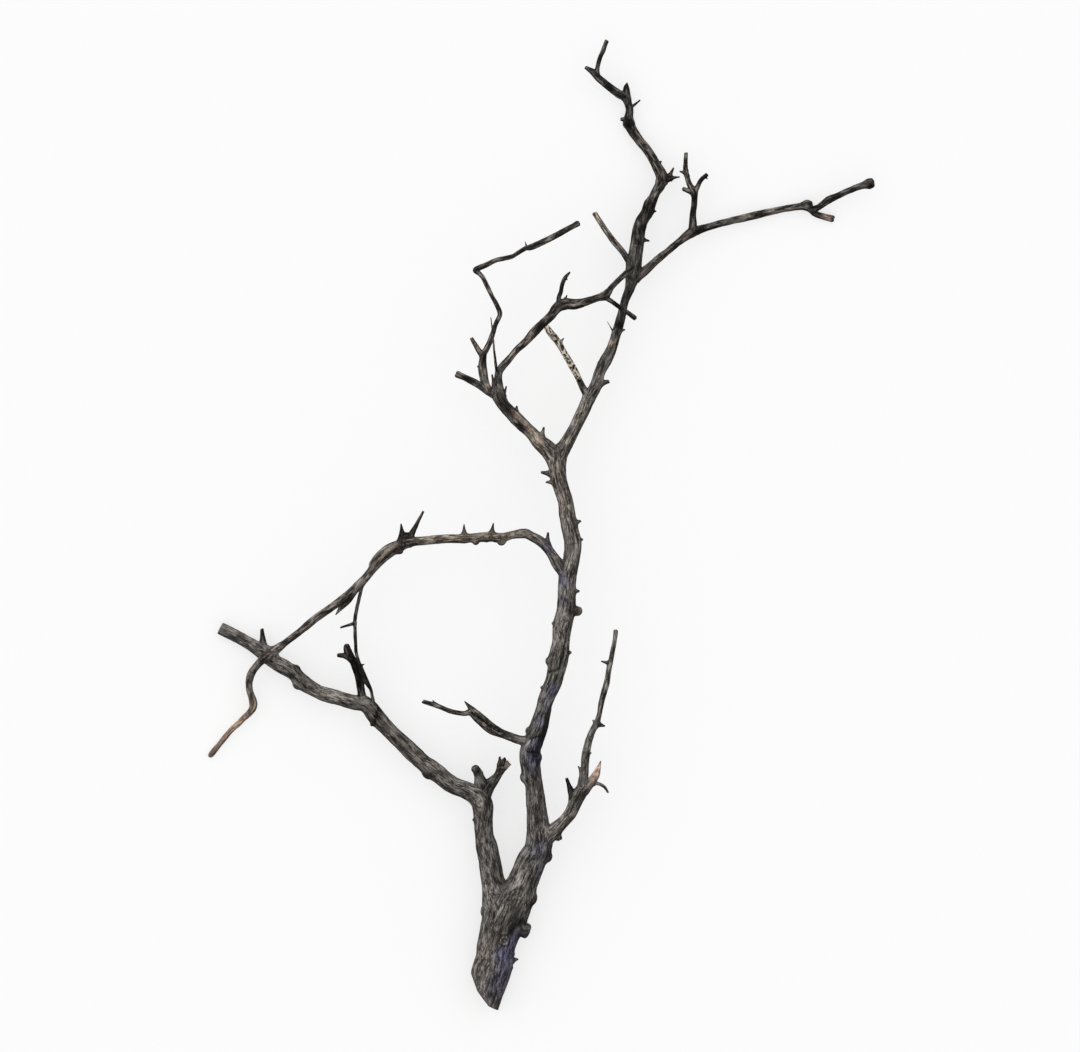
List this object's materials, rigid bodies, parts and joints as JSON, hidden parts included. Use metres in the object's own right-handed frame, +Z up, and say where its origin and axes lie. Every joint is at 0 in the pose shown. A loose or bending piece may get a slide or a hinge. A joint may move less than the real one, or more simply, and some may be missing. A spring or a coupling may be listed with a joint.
{
  "type": "fallen tree branch",
  "caption": "A dead, leafless tree branch with dark grey-brown bark, thorns and knots, lying on the ground",
  "frame": {"origin": "centre of the plan's bounding box, on the ground that the branch lies on", "axes": "+Z up from the ground, +Y from the cut butt towards the leader's tip, +X to the right of it"},
  "size_m": [0.6669, 0.9718, 0.0776],
  "materials": {
    "bark": "rough, finely fissured dead bark",
    "dark_bark": "rough, blackened dead bark",
    "twig_bark": "dry, partly bare twig wood",
    "lichen_bark": "flaky bark with pale lichen"
  },
  "bodies": {
    "root": {"trunk": "bark", "left_limb_lower": "bark", "left_limb_outer": "bark", "left_limb_tip": "bark", "burnt_stub": "dark_bark", "stem_lower": "bark", "right_limb": "bark", "right_shoot": "bark", "stem_middle": "bark", "low_side_twig": "dark_bark", "stem_upper": "bark", "arch_limb": "bark", "arch_tail": "twig_bark", "hanging_twig": "dark_bark", "stem_neck": "bark", "left_top_limb": "bark", "left_stub_twig": "dark_bark", "zigzag_twig": "dark_bark", "crossing_limb": "dark_bark", "dry_shoot": "dark_bark", "leader_lower": "bark", "lichen_twig": "lichen_bark", "leader_middle": "bark", "short_left_twig": "twig_bark", "leader_top": "dark_bark", "leader_tip": "dark_bark", "right_branch_inner": "dark_bark", "upright_twig": "dark_bark", "right_branch_outer": "dark_bark"}
  },
  "joints": []
}
